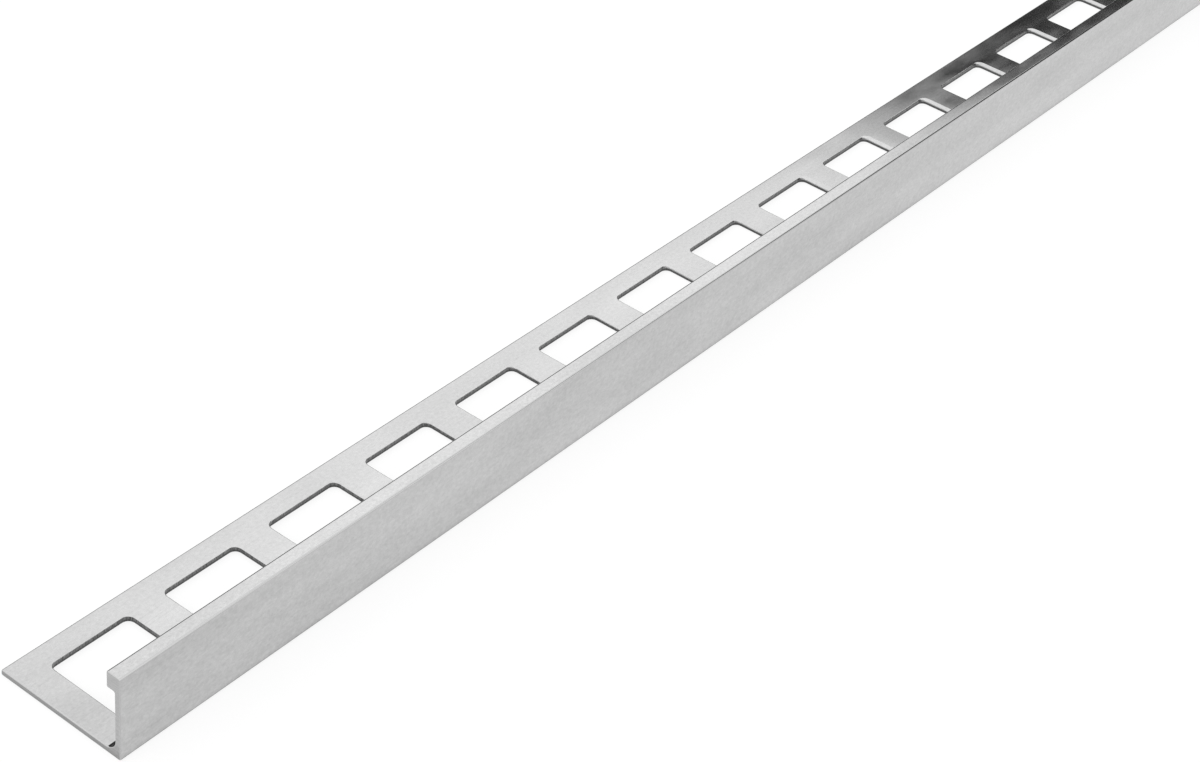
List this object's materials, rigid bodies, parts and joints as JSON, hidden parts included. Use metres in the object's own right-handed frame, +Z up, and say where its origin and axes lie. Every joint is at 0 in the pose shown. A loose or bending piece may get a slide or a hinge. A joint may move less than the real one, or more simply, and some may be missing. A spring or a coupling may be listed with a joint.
{
  "type": "tile edge trim",
  "caption": "Straight aluminium tile edge trim: an L section with a square lip along its top edge and a row of square punched holes in its anchoring leg.",
  "frame": {"origin": "under the middle of the trim, on the plane that its anchoring leg rests on", "axes": "+X along the length, +Y from the show face to the free edge of the anchoring leg, +Z up the show face"},
  "size_m": [1, 0.0234, 0.015],
  "materials": {
    "mill_aluminium": "satin mill finish"
  },
  "bodies": {
    "root": {"edge_trim": "mill_aluminium"}
  },
  "joints": []
}
